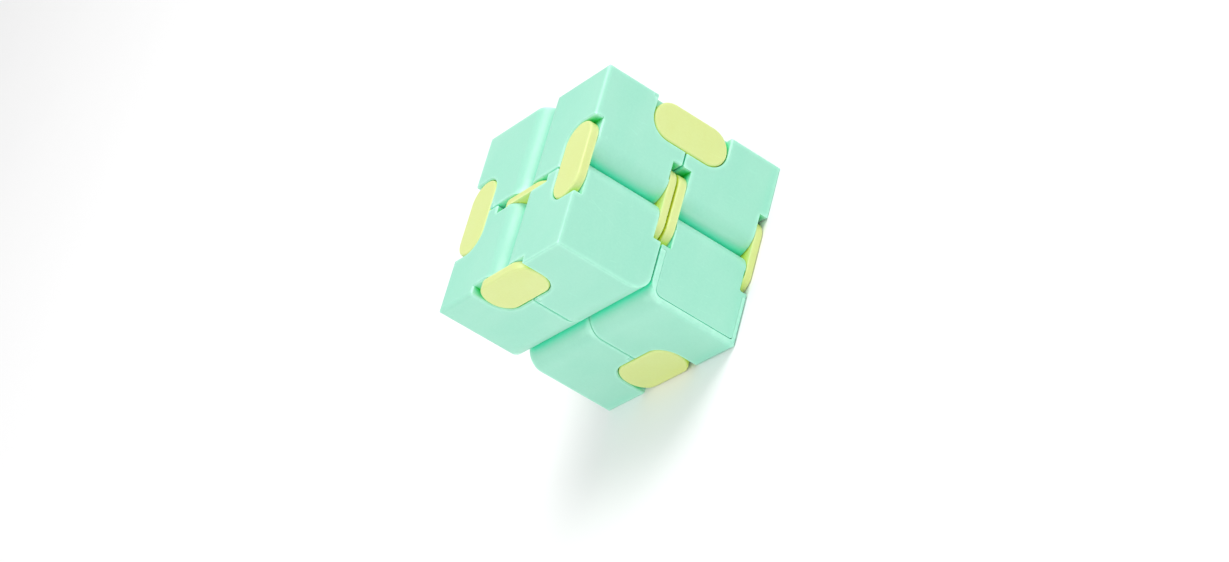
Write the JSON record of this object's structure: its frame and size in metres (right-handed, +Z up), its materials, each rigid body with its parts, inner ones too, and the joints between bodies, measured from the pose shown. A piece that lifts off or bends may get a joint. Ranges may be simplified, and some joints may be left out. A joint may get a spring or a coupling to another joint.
{
  "type": "folding infinity cube fidget toy",
  "caption": "Pocket fidget cube of hollow mint blocks joined in a folding loop by pairs of oval lime link plates; it opens like doors and a book, then lies flat.",
  "frame": {"origin": "centre of the closed cube's underside", "axes": "+Z up; +X towards the side where the book hinge is; -Y the front. The hinges along X join the left blocks (-X)."},
  "size_m": [0.04, 0.04, 0.04],
  "materials": {
    "shell_plastic": "moulded ABS, satin",
    "cover_plastic": "moulded ABS, satin",
    "link_plastic": "moulded ABS, satin"
  },
  "bodies": {
    "lower_left_pair": {"lower_front_left_shell": "shell_plastic", "lower_front_left_cover": "cover_plastic", "lower_rear_left_shell": "shell_plastic", "lower_rear_left_cover": "cover_plastic", "bottom_left_outer_link": "link_plastic", "bottom_left_inner_link": "link_plastic"},
    "front_lower_links": {"front_lower_outer_link": "link_plastic", "front_lower_inner_link": "link_plastic"},
    "lower_front_right_block": {"lower_front_right_shell": "shell_plastic", "lower_front_right_cover": "cover_plastic"},
    "right_front_links": {"right_front_outer_link": "link_plastic", "right_front_inner_link": "link_plastic"},
    "upper_front_right_block": {"upper_front_right_shell": "shell_plastic", "upper_front_right_cover": "cover_plastic"},
    "front_upper_links": {"front_upper_outer_link": "link_plastic", "front_upper_inner_link": "link_plastic"},
    "upper_left_pair": {"upper_front_left_shell": "shell_plastic", "upper_front_left_cover": "cover_plastic", "upper_rear_left_shell": "shell_plastic", "upper_rear_left_cover": "cover_plastic", "top_left_outer_link": "link_plastic", "top_left_inner_link": "link_plastic"},
    "rear_lower_links": {"rear_lower_outer_link": "link_plastic", "rear_lower_inner_link": "link_plastic"},
    "lower_rear_right_block": {"lower_rear_right_shell": "shell_plastic", "lower_rear_right_cover": "cover_plastic"},
    "right_rear_links": {"right_rear_outer_link": "link_plastic", "right_rear_inner_link": "link_plastic"},
    "rear_upper_links": {"rear_upper_outer_link": "link_plastic", "rear_upper_inner_link": "link_plastic"},
    "upper_rear_right_block": {"upper_rear_right_shell": "shell_plastic", "upper_rear_right_cover": "cover_plastic"}
  },
  "joints": [
    {"name": "front_door", "type": "hinge", "parent": "lower_left_pair", "child": "front_lower_links", "pos_m": [-0.0043, -0.01585, 0.01], "axis": [0, 0, -1], "range_deg": [0, 90]},
    {"name": "front_door_lower_block", "type": "hinge", "parent": "front_lower_links", "child": "lower_front_right_block", "pos_m": [0.0043, -0.01585, 0.01], "axis": [0, 0, -1], "range_deg": [0, 90]},
    {"name": "book", "type": "hinge", "parent": "lower_front_right_block", "child": "right_front_links", "pos_m": [0.01585, -0.01, 0.0157], "axis": [0, 1, 0], "range_deg": [0, 90]},
    {"name": "book_front_block", "type": "hinge", "parent": "right_front_links", "child": "upper_front_right_block", "pos_m": [0.01585, -0.01, 0.0243], "axis": [0, 1, 0], "range_deg": [0, 90]},
    {"name": "front_door_upper_links", "type": "hinge", "parent": "upper_front_right_block", "child": "front_upper_links", "pos_m": [0.0043, -0.01585, 0.03], "axis": [0, 0, 1], "range_deg": [0, 90]},
    {"name": "front_door_upper_pair", "type": "hinge", "parent": "front_upper_links", "child": "upper_left_pair", "pos_m": [-0.0043, -0.01585, 0.03], "axis": [0, 0, 1], "range_deg": [0, 90]},
    {"name": "rear_door", "type": "hinge", "parent": "lower_left_pair", "child": "rear_lower_links", "pos_m": [-0.0043, 0.01585, 0.01], "axis": [0, 0, 1], "range_deg": [0, 90]},
    {"name": "rear_door_lower_block", "type": "hinge", "parent": "rear_lower_links", "child": "lower_rear_right_block", "pos_m": [0.0043, 0.01585, 0.01], "axis": [0, 0, 1], "range_deg": [0, 90]},
    {"name": "rear_door_upper_links", "type": "hinge", "parent": "upper_left_pair", "child": "rear_upper_links", "pos_m": [-0.0043, 0.01585, 0.03], "axis": [0, 0, 1], "range_deg": [0, 90]},
    {"name": "rear_door_upper_block", "type": "hinge", "parent": "rear_upper_links", "child": "upper_rear_right_block", "pos_m": [0.0043, 0.01585, 0.03], "axis": [0, 0, 1], "range_deg": [0, 90]},
    {"name": "book_rear_links", "type": "hinge", "parent": "lower_rear_right_block", "child": "right_rear_links", "pos_m": [0.01585, 0.01, 0.0157], "axis": [0, 1, 0], "range_deg": [0, 90]}
  ],
  "couplings": [
    {"joint": "front_door_lower_block", "follows": "front_door", "ratio": 1},
    {"joint": "front_door_upper_links", "follows": "front_door", "ratio": 1},
    {"joint": "front_door_upper_pair", "follows": "front_door", "ratio": 1},
    {"joint": "book_front_block", "follows": "book", "ratio": 1},
    {"joint": "book_rear_links", "follows": "book", "ratio": 1},
    {"joint": "rear_door_lower_block", "follows": "rear_door", "ratio": 1},
    {"joint": "rear_door_upper_links", "follows": "rear_door", "ratio": 1},
    {"joint": "rear_door_upper_block", "follows": "rear_door", "ratio": 1}
  ]
}
